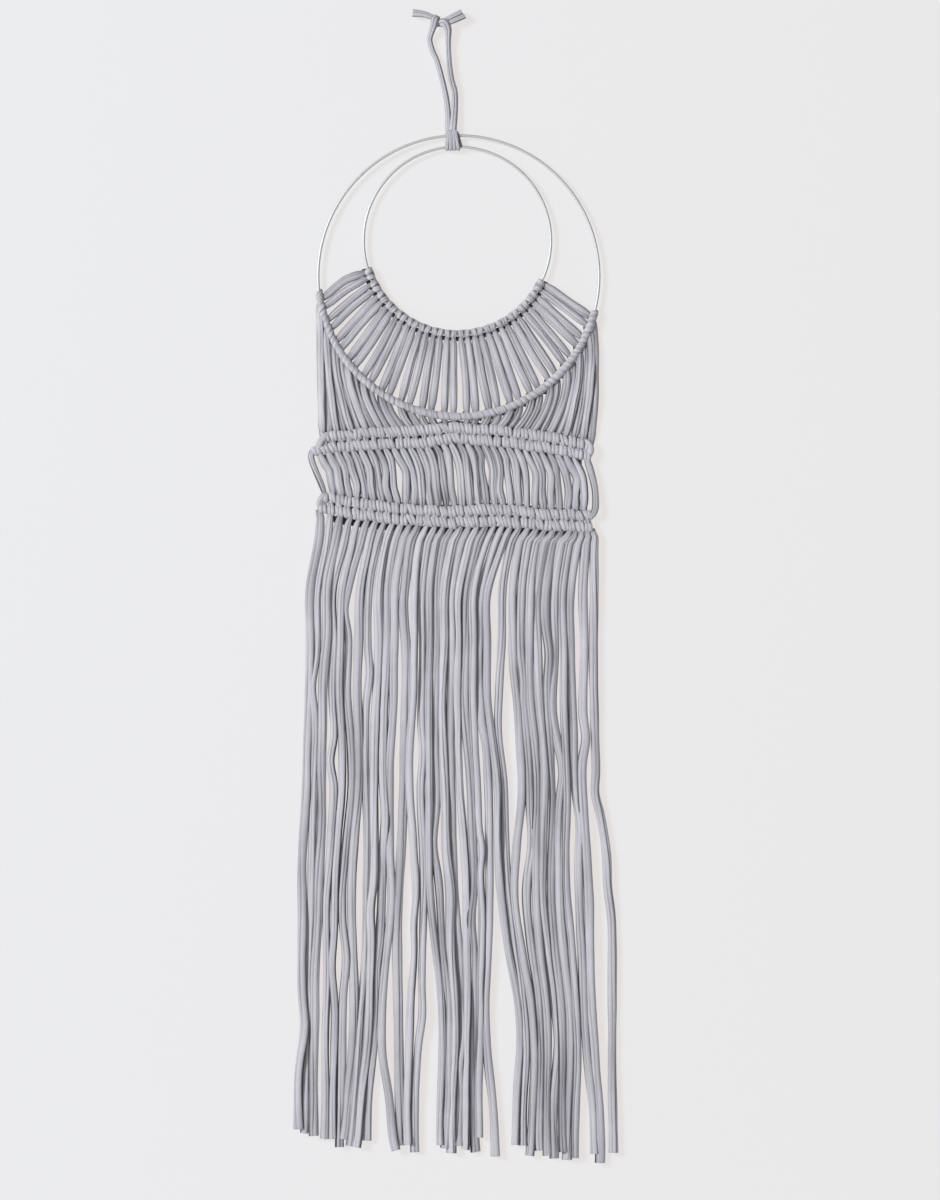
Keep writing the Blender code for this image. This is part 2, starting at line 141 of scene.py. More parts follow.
# How each one leaves its upper hitch, from the row's own line.
MID_ROOT_MM = ((-8.0, 1.4, -1.5), (-5.6, -1.0, -7.0), (-1.0, -0.4, -16.0))
FRINGE_PIVOT_Z = -546.6 * MM
# Each strand of the loop, from the valley between the two over the front of the knot, down and
# into the lashing, and its width at even places along it.
LOOP_STRANDS_MM = {
    "loop_strand_left": (
        (-2.6, 3.0, 9.0), (-4.2, -0.6, 10.6), (-6.0, -2.8, 7.0), (-7.2, -2.8, 1.8),
        (-9.0, -1.4, -3.0), (-11.6, 1.5, -12.0), (-9.1, 1.6, -23.0), (-3.6, 1.5, -36.0),
        (3.0, 1.4, -60.0), (7.4, 1.3, -84.0), (8.2, 1.2, -106.3), (8.2, 1.7, -113.3),
    ),
    "loop_strand_right": (
        (-1.6, 2.6, 3.6), (0.4, -1.4, 5.4), (4.0, -3.2, 5.2), (7.0, -2.8, 1.0),
        (8.4, -1.4, -4.0), (8.3, 0.6, -16.0), (9.4, 0.4, -38.0), (11.7, 0.4, -55.0),
        (15.2, 0.6, -68.3), (15.3, 0.9, -84.0), (13.4, -0.2, -106.3), (13.4, 0.3, -113.3),
    ),
}
LOOP_FLARES = {
    "loop_strand_left": (
        1.2, 1.42, 1.05, 0.92, 0.9, 0.9, 0.9, 0.91, 0.93, 0.96, 1.0, 1.02, 1.05, 1.08, 1.1,
    ),
    "loop_strand_right": (
        1.2, 1.5, 1.2, 0.95, 0.9, 0.9, 0.92, 0.94, 0.96, 1.0, 1.05, 1.1, 1.2, 1.25, 1.3,
    ),
}
# The knot's body behind those turns: width, how much painted shade, route.
KNOT_BODY_MM = (
    (7.0, 0.9, ((-7.5, 2.2, 9.0), (-3.0, 2.4, 6.5), (2.0, 2.4, 5.0), (7.0, 1.6, 8.0))),
    (6.0, 0.9, ((-7.5, 1.6, 6.0), (-4.0, 0.8, 5.0), (-1.5, 1.6, 3.0))),
    (5.6, 0.3, ((7.0, 1.6, 4.0), (4.5, 0.6, 3.6), (1.0, 1.4, 3.0))),
)
# The cut ends: width, how it changes down the end, whether its tube stands open, route.
TAILS_MM = {
    "hanging_tail_left": (
        (6.0, (0.8, 1.4), False, (
            (-3.5, 0.5, 11.0), (-9.0, -0.8, 11.6), (-17.6, -0.8, 14.4), (-29.4, -0.4, 15.9),
        )),
    ),
    "hanging_tail_right": (
        (5.4, (0.95, 1.1), False, (
            (3.0, 0.5, 8.0), (9.0, -1.2, 10.2), (16.0, -1.6, 13.6), (22.3, -1.4, 16.8),
        )),
        (4.9, (1.0, 1.15), True, (
            (4.0, 0.9, 4.0), (11.0, -2.2, 5.9), (18.5, -2.8, 9.0), (25.8, -2.4, 12.4),
        )),
    ),
}
LASHING_Z = (-131.2 * MM, -110.2 * MM)
LASHING_TURNS = 4

# Fringe, as part.py has it: at each level, (left edge, right edge, cords in it).
LEVEL_STEP = 128.1 * MM
FRINGE_TOP_X = (-131 * MM, 163.5 * MM)
CLUMPS_MM = (
    (
        (-145.7, -94.5, 6), (-91.3, -74.2, 2), (-72.1, -44.3, 3), (-42.2, 55.0, 12),
        (59.3, 69.9, 1), (72.1, 143.6, 8), (147.0, 155.4, 1), (159.6, 168.2, 1),
    ),
    (
        (-146.8, -121.2, 3), (-116.9, -49.6, 8), (-44.3, -29.4, 2), (-26.2, 26.2, 6),
        (28.6, 43.2, 2), (47.2, 71.3, 3), (79.7, 157.5, 9), (162.8, 171.4, 1),
    ),
    (
        (-153.2, -91.3, 7), (-85.9, -37.9, 5), (-30.4, 20.9, 6), (23, 55, 4),
        (60.3, 83.9, 3), (87, 141.6, 6), (144.7, 164.9, 2), (177.8, 188.4, 1),
    ),
    (
        (-153.4, -131.4, 3), (-127.6, -98.8, 3), (-96.6, -57.1, 5), (-49.6, -40.0, 1),
        (-36.8, -18.7, 2), (-3.7, 53.9, 8), (77.4, 167.1, 11), (177.8, 187.4, 1),
    ),
    (
        (-157.5, -130.8, 3), (-128.6, -74.2, 7), (-57.1, -23.0, 4), (-9.1, 49.6, 7),
        (53.9, 65.7, 1), (72.1, 152.1, 9), (159.6, 175.6, 2), (178.8, 189.5, 1),
    ),
)
CORD_POINTS = 13
SHORTEST_CORD_Z = -1187 * MM
END_SLOPE = -20 * MM
END_RAGGED = 5 * MM
END_PER_CORD = 2.3
SWAY = 0.8 * MM
SWAY_PER_LEVEL, SWAY_PER_CORD = 1.9, 0.4
DEPTH_SWAY = 0.9 * MM
DEPTH_PER_LEVEL, DEPTH_PER_CORD = 1.3, 2.4
STILL_POINTS = 2
# Looks only, from here: how close the cords of a clump hang at each level, how soon they gather.
CLUMP_TIGHTNESS = (0.97, 0.96, 0.95, 0.93, 0.90)
EARLY_GATHER = 0.45
# Cords cut shorter than their neighbours.
ENDS_RAISED_MM = {0: 12, 1: 4, 2: 11, 4: 3, 18: 4, 20: 11, 22: 7, 23: 6, 24: 3, 33: 4}
# How many short bends each cord has, over and over along the fringe.
KINKS = (1, 2, 0, 1)
# Where a cord leaves its hitch, from the row's own line, at a slant of 1, and the slant of each
# cord, between the cords listed.
ROOT_LEAN = 3.5 * MM
ROOT_MM = ((7.5, 1.2, -2.0), (6.2, -1.0, -7.0), (2.6, -1.0, -13.0))
ROOT_SLANTS = ((0, 1, 3, 29, 33), (-0.25, 0.1, 0.7, 1.0, -0.6))
# Cords this close press on each other, and the line between them gets painted shade.
PRESSED_APART = 11 * MM
PRESSED_OVER = 2.6 * MM
PRESSED_MOST = 1.7
PRESSED_TOP_TO_END = (0.3, 1.5)
FRINGE_BUNDLES = {
    "fringe_left": (0, 10),
    "fringe_mid_left": (10, 14),
    "fringe_centre": (14, 22),
    "fringe_mid_right": (22, 31),
    "fringe_right": (31, 34),
}

# Jersey cord. It lies flat, so it is wider than it is deep.
CORD_WIDTH = 8.6 * MM
CORD_DEPTH = 5.5 * MM
RING_STEP = 4.5 * MM
SHORT_STEP = 2.2 * MM
STRAND_STEP = SHORT_STEP * 1.4
WRAP_DEPTH = 3.0 * MM
BEHIND = 2.6 * MM

# The stage, and the colours.
CAMERA_PLACE = (0.0315, -3.025, -0.6107)
STAGE_MIDDLE = (0.02, 0.0, -0.6)
WALL_Y = 5.8 * MM
FLOOR_Z = -1.30
CORD_COLOUR = (0.52, 0.51, 0.55)
WIRE_COLOUR = (0.56, 0.56, 0.545)
# The wall's glow is painted light, as it is no lamp: its own colour is bluish and its glow warm, so
# that where the lamps reach it the two add up to pale grey, and its shadows stay faint and warm.
WALL_COLOUR = (0.10, 0.152, 0.20, 1.0)
WALL_GLOW = (1.0, 0.92, 0.86, 1.0)
FLOOR_COLOUR = (0.8, 0.8, 0.81, 1.0)


# Camera and light.

def add_object(name, data):
    thing = bpy.data.objects.new(name, data)
    bpy.context.scene.collection.objects.link(thing)
    return thing


def add_camera():
    camera = add_object("camera", bpy.data.cameras.new("camera"))
    camera.data.lens = 85
    camera.data.sensor_width = 36
    camera.location = CAMERA_PLACE
    camera.rotation_euler = (math.radians(90), 0, 0)
    bpy.context.scene.camera = camera


def add_area_light(name, place, size, power, colour):
    light = bpy.data.lights.new(name, "AREA")
    light.size = size
    light.energy = power
    light.color = colour
    lamp = add_object(name, light)
    lamp.location = place
    aim = Vector(STAGE_MIDDLE) - Vector(place)
    lamp.rotation_euler = aim.to_track_quat("-Z", "Y").to_euler()


def add_studio():
    world = bpy.data.worlds.new("studio")
    world.use_nodes = True
    background = world.node_tree.nodes["Background"]
    background.inputs["Color"].default_value = (0.95, 0.97, 1.0, 1.0)
    background.inputs["Strength"].default_value = 0.19
    bpy.context.scene.world = world
    bpy.context.scene.view_settings.view_transform = "Standard"
    add_area_light("key", (-4.9, -4.5, 1.56), 1.8, 470, (0.97, 0.98, 1.0))
    add_area_light("fill", (1.6, -3.6, -0.6), 2.0, 9, (1.0, 0.97, 0.94))
    add_area_light("back", (0.4, 2.4, 0.0), 1.6, 26, (1.0, 1.0, 1.0))


# Building tubes of cord.

def unit(vectors):
    return vectors / np.linalg.norm(vectors, axis=-1, keepdims=True)


def lengths_along(points):
    steps = np.linalg.norm(np.diff(points, axis=0), axis=1)
    return np.concatenate([[0], np.cumsum(steps)])


def smooth_line(points, step):
    """Points about a step apart on a smooth curve through the given ones."""
    p = np.asarray(points, float)
    p = np.vstack([2 * p[0] - p[1], p, 2 * p[-1] - p[-2]])
    fine = []
    t = np.linspace(0, 1, 13)[:-1, None]
    for a, b, c, d in zip(p, p[1:], p[2:], p[3:]):
        square, cube = 2 * a - 5 * b + 4 * c - d, 3 * b - a - 3 * c + d
        fine.append(0.5 * (2 * b + (c - a) * t + square * t**2 + cube * t**3))
    fine = np.vstack([*fine, p[-2:-1]])
    along = lengths_along(fine)
    at = np.linspace(0, along[-1], max(4, round(along[-1] / step) + 1))
    return np.stack([np.interp(at, along, fine[:, k]) for k in range(3)], axis=1)


def wander(rng, along, size, wavelength):
    """A slow random wave along a cord."""
    first, second = rng.uniform(0, 2 * np.pi, 2)
    turns = 2 * np.pi * along / wavelength
    return size * (0.6 * np.sin(turns + first) + 0.4 * np.sin(2.3 * turns + second))


# The section of the cord, in degrees round it from its main crease. It has three creases where
# the strip's curled edges meet and fold, and points crowd at each.
CREASES = (0, 58, 205)
CREASE_DEPTHS = (0.42, 0.34, 0.26)
SECTION = np.array((
    0, 6, 13, 24, 36, 46, 52, 58, 64, 71, 84, 104, 128, 150, 172, 190, 199, 205, 211, 220, 240,
    262, 284, 306, 326, 346, 354,
))


def from_angle(degrees):
    apart = np.abs(SECTION - degrees)
    return np.minimum(apart, 360 - apart)


# Each crease, and the low lips beside it.
FOLDS = np.array([np.exp(-((from_angle(a) / 8) ** 2)) for a in CREASES])
LIPS = np.array([np.exp(-(((from_angle(a) - 18) / 9) ** 2)) for a in CREASES])
LIP_HEIGHT = 0.05
END_SHADE_FADE = 7 * MM
# A cut end's last rings, as (mm past the end, share of the section). The hollow one is an open
# tube, and the other is rolled shut.
CUT_HOLLOW = ((0.3, 0.92), (0.1, 0.66), (-2.5, 0.6), (-5.0, 0.45))
CUT_END = ((0.5, 0.94), (0.4, 0.76), (-0.6, 0.52), (-1.6, 0.24))


class Cords:
    """Gathers tubes of cord, and makes them one mesh."""

    def __init__(self):
        self.points, self.quads, self.tris = [], [], []
        self.uvs_quads, self.uvs_tris, self.tones, self.painted_shades = [], [], [], []
        self.count = 0

    def add(
        self, line, face, rng, width=CORD_WIDTH, depth=CORD_DEPTH, crease_and_painted_shade=1.0, crease_at=None,
        twist=18, twist_wave=0.11, start_size=1.0, end_size=1.0, ease_over=5 * MM, cut_start=False,
        cut_end=False, hollow=False, flare=None, square=1.0, painted_front_shade=0.0, painted_flank_shade=0.7,
        painted_end_shade=(0, 0), beside=(0, 0),
    ):
        """One tube along a line. face is the way its flat side looks, one vector or one a point.
        Every point gets painted shade, which darkens its colour: flank at its sides, dark in front,
        tucked at its start and end, and beside where other cords press on its left and right, each
        of those once or at each point; its folds get painted shade as well. flare is the width at
        even places along the line. square under 1 makes the section boxier."""
        along = lengths_along(line)
        tangent = unit(np.gradient(line, axis=0))
        face = np.broadcast_to(face, line.shape)
        face = unit(face - tangent * (face * tangent).sum(1, keepdims=True))
        side = np.cross(face, tangent)
        turned = rng.normal(0, twist * 0.5) + wander(rng, along, twist, twist_wave)
        turned = np.radians(turned)[:, None]
        face, side = (
            face * np.cos(turned) + side * np.sin(turned),
            side * np.cos(turned) - face * np.sin(turned),
        )
        size = np.ones(len(line))
        ease = np.clip(along / ease_over, 0, 1)
        size *= start_size + (1 - start_size) * ease
        ease = np.clip((along[-1] - along) / ease_over, 0, 1)
        size *= end_size + (1 - end_size) * ease
        half_width = width / 2 * size * (1 + wander(rng, along, 0.05, 0.12))
        half_depth = depth / 2 * size * (1 + wander(rng, along, 0.07, 0.05))
        if flare is not None:
            half_width = half_width * np.interp(
                np.linspace(0, 1, len(line)), np.linspace(0, 1, len(flare)), flare
            )
        if crease_at is None:
            crease_at = rng.uniform(-80, 30)
        angle = np.radians(90 + crease_at + wander(rng, along, 12, 0.3))[:, None]
        angle = angle + np.radians(SECTION)
        # Painted shade, which darkens the colour: at the cord's sides, where the next cords press
        # on them, over its front, and near its start and end.
        form, shade = 1.0, painted_flank_shade * np.abs(np.cos(angle)) ** 4
        for way, pressed in zip((-1, 1), beside):
            pressed = np.broadcast_to(pressed, len(line))[:, None]
            shade = shade + pressed * np.clip(way * np.cos(angle), 0, 1) ** 6
        shade = shade + painted_front_shade * np.clip(0.6 + 1.5 * np.sin(angle), 0, 1)
        shade = shade + painted_end_shade[0] * np.exp(-along / END_SHADE_FADE)[:, None]
        shade = shade + painted_end_shade[1] * np.exp((along - along[-1]) / END_SHADE_FADE)[:, None]
        for depth_share, fold, lips in zip(CREASE_DEPTHS, FOLDS, LIPS):
            strength = rng.uniform(0.3, 1.2) + wander(rng, along, 0.4, 0.25)
            strength = crease_and_painted_shade * np.clip(strength, 0, 1.3)[:, None]
            form = form + strength * (LIP_HEIGHT * lips - depth_share * fold)
            # Each fold also gets painted shade along it.
            shade = shade + strength * fold * depth_share / CREASE_DEPTHS[0]
        across, out = np.cos(angle), np.sin(angle)
        across = np.sign(across) * np.abs(across) ** square
        out = np.sign(out) * np.abs(out) ** square
        offset = (
            side[:, None] * (half_width[:, None] * across * form)[..., None]
            + face[:, None] * (half_depth[:, None] * out * form)[..., None]
        )
        rings = line[:, None] + offset
        run = along
        for cut, end in ((cut_start, 0), (cut_end, -1)):
            if not cut:
                continue
            way = -1 if end == 0 else 1
            outward = tangent[end] * way
            shape = CUT_HOLLOW if hollow else CUT_END
            extra = np.array([line[end] + outward * out * MM + offset[end] * s for out, s in shape])
            places = run[end] + np.array([0.5, 1, 1.5, 2]) * MM * way
            if end == 0:
                rings = np.concatenate([extra[::-1], rings])
                run = np.concatenate([places[::-1], run])
                shade = np.concatenate([np.repeat(shade[:1], len(CUT_END), 0), shade])
            else:
                rings = np.concatenate([rings, extra])
                run = np.concatenate([run, places])
                shade = np.concatenate([shade, np.repeat(shade[-1:], len(CUT_END), 0)])
                # The inside of an open end is painted in deep shade.
                if hollow:
                    shade[-2:] += 1
        self._store(rings, run, np.clip(shade, 0, 1), rng.uniform(-1, 1))

    def _store(self, rings, run, shade, tone):
        count, around = rings.shape[:2]
        base = self.count
        centres = np.array([rings[0].mean(0), rings[-1].mean(0)])
        self.points.append(np.concatenate([rings.reshape(-1, 3), centres]))
        row = np.arange(count - 1)[:, None] * around
        k = np.arange(around)[None]
        k_next = (k + 1) % around
        quads = np.stack([row + k, row + k_next, row + around + k_next, row + around + k], axis=-1)
        self.quads.append(quads.reshape(-1, 4) + base)
        first, last = count * around, count * around + 1
        ring = np.arange(around)
        after = (ring + 1) % around
        top = (count - 1) * around
        start_cap = np.stack([np.full(around, first), after, ring], axis=-1)
        end_cap = np.stack([np.full(around, last), top + ring, top + after], axis=-1)
        self.tris.append(np.concatenate([start_cap, end_cap]) + base)
        u = np.append(SECTION, 360) / 360
        u_low, u_high = u[:-1][None], u[1:][None]
        v_low, v_high = run[:-1, None], run[1:, None]
        corners = [(u_low, v_low), (u_high, v_low), (u_high, v_high), (u_low, v_high)]
        uv = np.stack([np.stack(np.broadcast_arrays(a, b), axis=-1) for a, b in corners], axis=2)
        self.uvs_quads.append(uv.reshape(-1, 2))
        middle = (u[:-1] + u[1:]) / 2
        for low, high, v in ((u[1:], u[:-1], run[0]), (u[:-1], u[1:], run[-1])):
            cap = np.stack([middle, low, high], axis=-1)
            self.uvs_tris.append(np.stack([cap, np.full_like(cap, v)], axis=-1).reshape(-1, 2))
        # The middle of each end cap is painted in shade.
        self.painted_shades.append(np.append(shade.ravel(), (0.8, 0.8)))
        self.tones.append(np.full(shade.size + 2, tone))
        self.count += shade.size + 2

    def make(self, name, material):
        mesh = bpy.data.meshes.new(name)
        points = np.concatenate(self.points).astype(np.float32)
        quads = np.concatenate(self.quads)
        tris = np.concatenate(self.tris)
        mesh.vertices.add(len(points))
        mesh.vertices.foreach_set("co", points.ravel())
        mesh.loops.add(quads.size + tris.size)
        corners = np.concatenate([quads.ravel(), tris.ravel()]).astype(np.int32)
        mesh.loops.foreach_set("vertex_index", corners)
        mesh.polygons.add(len(quads) + len(tris))
        starts = np.concatenate([np.arange(len(quads)) * 4, quads.size + np.arange(len(tris)) * 3])
        mesh.polygons.foreach_set("loop_start", starts.astype(np.int32))
        layer = mesh.uv_layers.new(name="cord")
        uvs = np.concatenate([*self.uvs_quads, *self.uvs_tris]).astype(np.float32)
        layer.uv.foreach_set("vector", uvs.ravel())
        for attribute, values in (("tone", self.tones), ("crease_and_painted_shade", self.painted_shades)):
            stored = mesh.attributes.new(attribute, "FLOAT", "POINT")
            stored.data.foreach_set("value", np.concatenate(values).astype(np.float32))
        mesh.update(calc_edges=True)
        mesh.shade_smooth()
        mesh.materials.append(material)
        piece = add_object(name, mesh)
        return piece


def wind(centre, along, up, radii, start, end, pitch, lean=0.0):
    """A line wound round a core, and the way out at each point. The angle runs from up over the
    front, and radii are the winding's half height and half depth."""
    count = max(8, int((end - start) / 20))
    degrees = np.linspace(start, end, count)
    angle = np.radians(degrees)[:, None]
    outward = up * np.cos(angle) + FRONT * np.sin(angle)
    reach = up * np.cos(angle) * radii[0] + FRONT * np.sin(angle) * radii[1]
    shift = pitch * (degrees - (start + end) / 2) / 360 - lean * np.cos(np.radians(degrees))
    return centre + along * shift[:, None] + reach, outward


# Routes shared with the frame.

def spread(ends, count):
    return np.linspace(ends[0], ends[1], count)


def radial(degrees):
    angle = math.radians(degrees)
    return np.array((math.sin(angle), 0, -math.cos(angle)))


def tangential(degrees):
    angle = math.radians(degrees)
    return np.array((math.cos(angle), 0, math.sin(angle)))


def on_circle(centre, radius, degrees):
    return centre + radius * radial(degrees)


def row_point(name, x):
    points = np.array(ROWS_MM[name]) * MM
    z = np.interp(x, points[:, 0], points[:, 1])
    return np.array((x, 0, z))


def row_frame(name, x):
    """Point, direction and upward normal of a row at x."""
    before, after = row_point(name, x - 6 * MM), row_point(name, x + 6 * MM)
    along = unit(after - before)
    return row_point(name, x), along, np.array((-along[2], 0, along[0]))


def catmull_rom(values, place):
    last = len(values) - 1
    step = min(max(int(place), 0), last - 1)
    t = place - step
    a = values[max(step - 1, 0)]
    b = values[step]
    c = values[step + 1]
    d = values[min(step + 2, last)]
    return 0.5 * (
        2 * b
        + (c - a) * t
        + (2 * a - 5 * b + 4 * c - d) * t * t
        + (3 * b - a - 3 * c + d) * t * t * t
    )


def fringe_positions():
    levels = [list(spread(FRINGE_TOP_X, STRANDS))]
    for clumps, tightness in zip(CLUMPS_MM, CLUMP_TIGHTNESS):
        xs = []
        for left, right, count in clumps:
            pitch = (right - left) * MM / count * tightness
            middle = (left + right) / 2 * MM
            xs += [middle + pitch * (n - (count - 1) / 2) for n in range(count)]
        levels.append(xs)
    return levels


def fringe_route(index, levels):
    """Points down one fringe cord, from its pivot to its cut end."""
    across = [level[index] for level in levels]
    end = SHORTEST_CORD_Z + END_SLOPE * index / (STRANDS - 1)
    end += END_RAGGED * math.sin(END_PER_CORD * index) + ENDS_RAISED_MM.get(index, 0) * MM
    points = []
    for n in range(CORD_POINTS):
        z = FRINGE_PIVOT_Z + (end - FRINGE_PIVOT_Z) * n / (CORD_POINTS - 1)
        drop = (FRINGE_PIVOT_Z - z) / LEVEL_STEP
        fade = min(n / STILL_POINTS, 1)
        sway = math.sin(SWAY_PER_LEVEL * drop + SWAY_PER_CORD * index)
        x = catmull_rom(across, drop) + fade * SWAY * sway
        if n == 1:
            x += EARLY_GATHER * (across[1] - across[0])
        y = fade * DEPTH_SWAY * math.sin(DEPTH_PER_LEVEL * drop + DEPTH_PER_CORD * index)
        points.append((x, y, z))
    return points


def pressed_painted_shade(routes, index, line):
    """How closely the next cords lie against a fringe cord's left and right, down its line."""
    own = np.array(routes[index])
    sides = []
    for other in (index - 1, index + 1):
        near = np.zeros(CORD_POINTS)
        if 0 <= other < STRANDS:
            apart = np.abs(np.array(routes[other])[:, 0] - own[:, 0])
            near = np.clip((PRESSED_APART - apart) / PRESSED_OVER, 0, PRESSED_MOST)
            near *= spread(PRESSED_TOP_TO_END, CORD_POINTS)
        sides.append(np.interp(-line[:, 2], -own[:, 2], near))
    return sides


# The pieces.

def loosen(line, index, rng):
    """Gives a fringe cord slow waves, its short bends and a bent tip."""
    along = lengths_along(line)
    fade = np.clip((along - 25 * MM) / (60 * MM), 0, 1)
    line[:, 0] += fade * wander(rng, along, 1.2 * MM, rng.uniform(0.24, 0.5))
    line[:, 1] += fade * wander(rng, along, 0.5 * MM, rng.uniform(0.10, 0.19))
    tip = along - along[-1]
    line[:, 0] += rng.normal(0, 1.1) * MM * np.exp(tip / (12 * MM))
    line[:, 1] -= rng.uniform(0, 2.6) * MM * np.exp(tip / (7 * MM))
    for _ in range(KINKS[index % len(KINKS)]):
        place, reach = rng.uniform(0.09, 0.58), rng.uniform(0.016, 0.036)
        near = np.exp(-(((along - place) / reach) ** 2))
        line[:, 0] += near * rng.choice((-1, 1)) * rng.uniform(2.0, 4.8) * MM
        line[:, 1] -= near * 1.4 * MM


def add_fringe(material):
    levels = fringe_positions()
    routes = [fringe_route(index, levels) for index in range(STRANDS)]
    rng = np.random.default_rng(11)
    for bundle, (first, end) in FRINGE_BUNDLES.items():
        for index in range(first, end):
            top = row_point("row_2_lower", levels[0][index] + ROOT_LEAN)
            slant = np.interp(index, *ROOT_SLANTS)
            root = [top + np.array((x * slant, y, z)) * MM for x, y, z in ROOT_MM]
            layer = (1.0 if index % 2 else -0.8) * MM
            route = [(x, y + layer * min(n, 1), z) for n, (x, y, z) in enumerate(routes[index])]
            x, y, z = route[0]
            route[0] = (x + 0.4 * MM, y, z - 6 * MM)
            line = smooth_line([*root, *route], RING_STEP)
            loosen(line, index, rng)
            cords = Cords()
            cords.add(
                line, FRONT, rng, width=CORD_WIDTH * rng.uniform(0.98, 1.26),
                start_size=np.interp(index, (0, 3), (0.8, 0.48)), ease_over=17 * MM,
                cut_end=True, hollow=True, twist=22, twist_wave=0.35, crease_and_painted_shade=0.62, painted_flank_shade=0.4,
                flare=[1.0] * 24 + [1.1], painted_end_shade=(0.35, 0),
                beside=pressed_painted_shade(routes, index, line),
            )
            name = f"fringe_strand_{index + 1:02d}"
            piece = cords.make(name, material)
            replaced = [f"fringe_cord_{index + 1:02d}"]
            if index == 0:
                replaced.append("fringe_roots")
            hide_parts(*replaced)
            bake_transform(piece)


def add_row(name, body, material, seed):
    """A row of double half hitches: two turns of each strand round the holding cord. A lower row
    also has the strands that show between it and its upper row, and the turns at their ends."""
    rng = np.random.default_rng(seed)
    xs = spread(HITCH_ENDS_MM[name], STRANDS) * MM
    pitch = xs[1] - xs[0]
    cords = Cords()
    for number, x in enumerate(xs):
        centre, along, up = row_frame(name, x + rng.normal(0, 0.4) * MM)
        centre = centre + up * rng.normal(0, 0.45) * MM
        radii = np.array((4.0, 3.7)) * MM * rng.uniform(0.93, 1.08)
        from_end = min(number, STRANDS - 1 - number)
        radii = radii * np.interp(from_end, (0, 2), (0.88, 1.0))
        line, outward = wind(
            centre, along, up, radii, *ROW_HITCH_TURNS, pitch * rng.normal(0.43, 0.04),
            rng.normal(0.6, 0.7) * MM,
        )
        cords.add(
            line, outward, rng, width=pitch * 0.58 * rng.uniform(0.9, 1.14),
            depth=WRAP_DEPTH * rng.uniform(1.1, 1.5), crease_and_painted_shade=0.2, crease_at=rng.uniform(-40, 40),
            twist=12, start_size=0.7, end_size=0.7, square=0.95, painted_flank_shade=0.2,
        )
        reach = 6.0 if from_end > 1 else 3.5
        # Short runs of cord in the hollows, painted in deep shade.
        for rise, height in ROW_HOLLOWS_MM if from_end else ():
            run = [centre + np.array((way, 3.6, rise)) * MM for way in (-reach, 0.0, reach)]
            cords.add(
                smooth_line(run, SHORT_STEP), FRONT, rng, width=height * MM, depth=2.4 * MM,
                crease_and_painted_shade=0.5, twist=5, start_size=0.7, end_size=0.7, painted_front_shade=1.3,
            )
        if name.endswith("lower") and x > FIRST_LINK_X:
            above = row_point(name.replace("lower", "upper"), x + rng.normal(0, 1.0) * MM)
            start = above + np.array((-1, -1.2, -2)) * MM
            end = centre + np.array((1, -1.2, 2)) * MM
            # A little painted shade on the strand between the rows.
            cords.add(
                smooth_line([start, (start + end) / 2, end], SHORT_STEP), FRONT, rng,
                width=rng.uniform(5.4, 7.4) * MM, depth=4.2 * MM, twist=6, painted_front_shade=0.1,
            )
    for turn in END_TURNS_MM.get(name, ()):
        cords.add(
            smooth_line(np.array(turn) * MM, SHORT_STEP), FRONT, rng, width=7.2 * MM,
            depth=4.6 * MM, crease_and_painted_shade=0.3, twist=8, start_size=0.8, end_size=0.8, painted_flank_shade=0.3,
        )
    hitches = cords.make(name + "_hitches_cord", material)
    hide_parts(name + "_hitches")
    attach(hitches, body)
    core = np.array([row_point(name, x) for x in (xs[0] - 1.5 * MM, *xs, xs[-1] + 1.5 * MM)])
    core[0, 2] = 2 * core[1, 2] - core[2, 2]
    core[-1, 2] = 2 * core[-2, 2] - core[-3, 2]
    holder = Cords()
    holder.add(
        smooth_line(core, SHORT_STEP), FRONT, rng, width=HOLDING_CORD_RADIUS * 2.2,
        depth=HOLDING_CORD_RADIUS * 2, twist=10, cut_start=True, cut_end=True,
    )
    piece = holder.make(name + "_holder", material)
    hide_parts(name + "_holding_cord")
    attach(piece, body)


def add_wire_ring(name, centre, radius, material):
    """Round wire, bent to a ring and butt welded at the top under the lashing."""
    around, sides = 288, 16
    turn = np.linspace(0, 2 * np.pi, around, endpoint=False)
    weld = 1 + 0.12 * np.exp(-(((turn - np.pi) * radius / (1.2 * MM)) ** 2))
    outward = np.stack([np.sin(turn), 0 * turn, -np.cos(turn)], axis=1)
    lap = np.linspace(0, 2 * np.pi, sides, endpoint=False)
    section = outward[:, None] * np.cos(lap)[None, :, None] + FRONT * np.sin(lap)[None, :, None]
    points = centre + outward[:, None] * radius + section * (WIRE_RADIUS * weld)[:, None, None]
    mesh = bpy.data.meshes.new(name)
    faces = []
    for i in range(around):
        for k in range(sides):
            after, beside = (i + 1) % around, (k + 1) % sides
            corners = (i * sides + k, i * sides + beside, after * sides + beside, after * sides + k)
            faces.append(corners)
    mesh.from_pydata(points.reshape(-1, 3).tolist(), [], faces)
    mesh.update()
    mesh.shade_smooth()
    mesh.materials.append(material)
    ring = add_object(name + "_wire", mesh)
    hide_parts(name)
    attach(ring, "rings")


def pair_side(index):
    """Strands leave each knot in pairs. This is the side of its pair that one is on."""
    return 1 if index % 2 else -1


def inner_angle(index):
    return spread(INNER_KNOT_ANGLES, STRANDS)[index] - INNER_PAIRING * pair_side(index)


def outer_angle(index):
    return spread(OUTER_HITCH_ANGLES, STRANDS)[index] - OUTER_PAIRING * pair_side(index)


